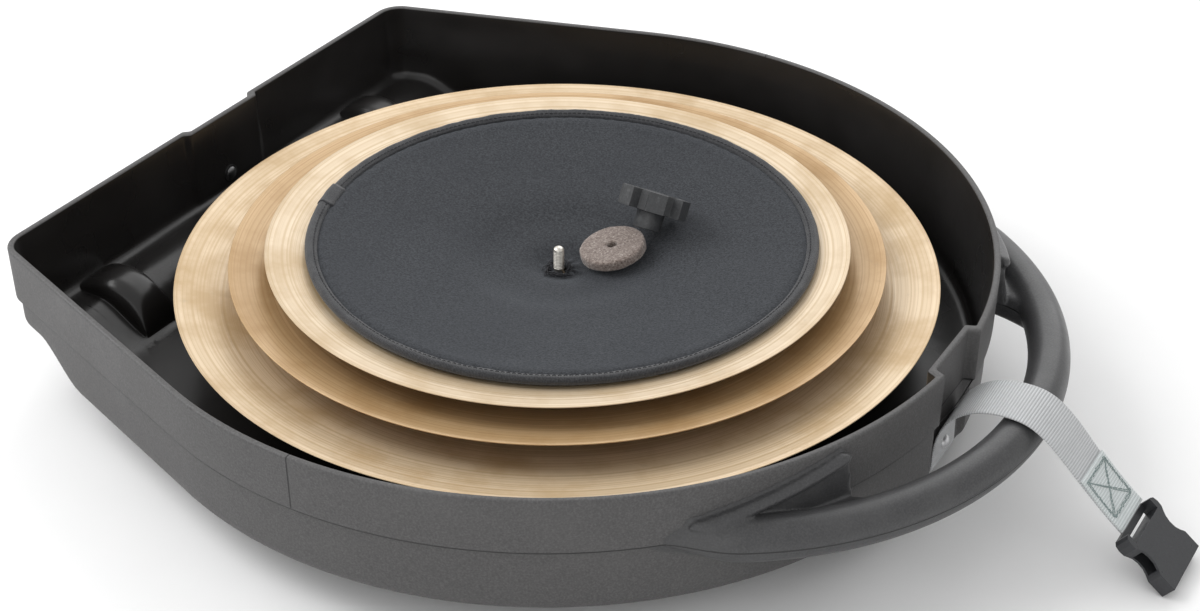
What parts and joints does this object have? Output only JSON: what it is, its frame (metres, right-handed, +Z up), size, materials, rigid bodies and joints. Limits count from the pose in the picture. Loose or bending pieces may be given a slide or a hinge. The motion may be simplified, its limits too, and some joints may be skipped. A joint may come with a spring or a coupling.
{
  "type": "wheeled cymbal case base",
  "caption": "Base half of a wheeled hard case with a carry handle, holding cymbals stacked upside down on a centre stud under a fabric pad, with a loose felt and star knob.",
  "frame": {"origin": "centre of the round boss on the underside, on the axis of the centre stud", "axes": "+X towards the carry handle, +Y towards the left wheel, +Z up out of the open case"},
  "size_m": [0.7714, 0.614, 0.1317],
  "materials": {
    "case_shell": "rotationally moulded polyethylene, charcoal, faint grain outside and smooth inside",
    "carry_handle": "same moulded polyethylene as the case",
    "rivet": "plain aluminium blind rivet",
    "steel_plate": "zinc plated steel",
    "stud_steel": "bare turned steel",
    "foam": "black closed-cell foam",
    "bronze": "lathed cast bronze with dull patina",
    "felt": "grey-brown pressed wool felt",
    "pad_fabric": "dark blue-grey woven nylon",
    "binding": "dark woven edge tape",
    "knob_plastic": "black moulded plastic, satin",
    "insert_brass": "turned brass",
    "webbing": "silver-grey ribbed webbing",
    "buckle_plastic": "black acetal",
    "tyre_rubber": "solid black rubber",
    "wheel_plastic": "dark grey nylon"
  },
  "bodies": {
    "case": {"case_shell": "case_shell", "carry_handle": "carry_handle", "front_rivet": "rivet", "front_rivet_washer": "rivet", "rear_rivet": "rivet", "rear_rivet_washer": "rivet", "stud_flange": "steel_plate", "flange_screws": "steel_plate", "centre_stud": "stud_steel", "stud_nut": "steel_plate", "base_foam": "foam", "strap_anchor_run": "webbing", "axle_bolt_left": "steel_plate", "axle_nut_left": "steel_plate", "axle_bolt_right": "steel_plate", "axle_nut_right": "steel_plate"},
    "large_cymbal": {"cymbal_large": "bronze"},
    "lower_felt": {"felt_lower": "felt"},
    "lower_divider": {"divider_lower": "pad_fabric"},
    "middle_cymbal": {"cymbal_middle": "bronze"},
    "upper_felt": {"felt_upper": "felt"},
    "upper_divider": {"divider_upper": "pad_fabric"},
    "small_cymbal": {"cymbal_small": "bronze"},
    "pad": {"top_pad": "pad_fabric", "top_pad_binding": "binding"},
    "loose_felt": {"felt_washer": "felt"},
    "loose_knob": {"star_knob": "knob_plastic", "knob_insert": "insert_brass"},
    "strap_end": {"strap_free_run": "webbing", "strap_stitched_end": "webbing"},
    "buckle": {"buckle_socket": "buckle_plastic"},
    "wheel_left": {"tyre_left": "tyre_rubber", "wheel_hub_left": "wheel_plastic", "bearings_left": "steel_plate"},
    "wheel_right": {"tyre_right": "tyre_rubber", "wheel_hub_right": "wheel_plastic", "bearings_right": "steel_plate"}
  },
  "joints": [
    {"name": "wheel_left_spin", "type": "hinge", "parent": "case", "child": "wheel_left", "pos_m": [-0.276, 0.152, 0.025], "axis": [0, 1, 0], "continuous": true},
    {"name": "wheel_right_spin", "type": "hinge", "parent": "case", "child": "wheel_right", "pos_m": [-0.276, -0.152, 0.025], "axis": [0, 1, 0], "continuous": true},
    {"name": "strap_fold", "type": "hinge", "parent": "case", "child": "strap_end", "pos_m": [0.34915, 0, 0.09285], "axis": [0, -1, 0], "range_deg": [0, 110]},
    {"name": "buckle_swing", "type": "hinge", "parent": "strap_end", "child": "buckle", "pos_m": [0.424, 0, 0.033], "axis": [0, -1, 0], "range_deg": [0, 60]},
    {"name": "lift_large_cymbal", "type": "slide", "parent": "case", "child": "large_cymbal", "axis": [0, 0, 1], "range_m": [0, 0.12]},
    {"name": "lift_lower_felt", "type": "slide", "parent": "large_cymbal", "child": "lower_felt", "axis": [0, 0, 1], "range_m": [0, 0.1]},
    {"name": "lift_lower_divider", "type": "slide", "parent": "lower_felt", "child": "lower_divider", "axis": [0, 0, 1], "range_m": [0, 0.1]},
    {"name": "lift_middle_cymbal", "type": "slide", "parent": "lower_divider", "child": "middle_cymbal", "axis": [0, 0, 1], "range_m": [0, 0.1]},
    {"name": "lift_upper_felt", "type": "slide", "parent": "middle_cymbal", "child": "upper_felt", "axis": [0, 0, 1], "range_m": [0, 0.1]},
    {"name": "lift_upper_divider", "type": "slide", "parent": "upper_felt", "child": "upper_divider", "axis": [0, 0, 1], "range_m": [0, 0.1]},
    {"name": "lift_small_cymbal", "type": "slide", "parent": "upper_divider", "child": "small_cymbal", "axis": [0, 0, 1], "range_m": [0, 0.1]},
    {"name": "lift_pad", "type": "slide", "parent": "small_cymbal", "child": "pad", "axis": [0, 0, 1], "range_m": [0, 0.1]},
    {"name": "lift_felt_washer", "type": "slide", "parent": "pad", "child": "loose_felt", "axis": [0, 0, 1], "range_m": [0, 0.1]},
    {"name": "lift_star_knob", "type": "slide", "parent": "loose_felt", "child": "loose_knob", "axis": [0, 0, 1], "range_m": [0, 0.1]}
  ]
}
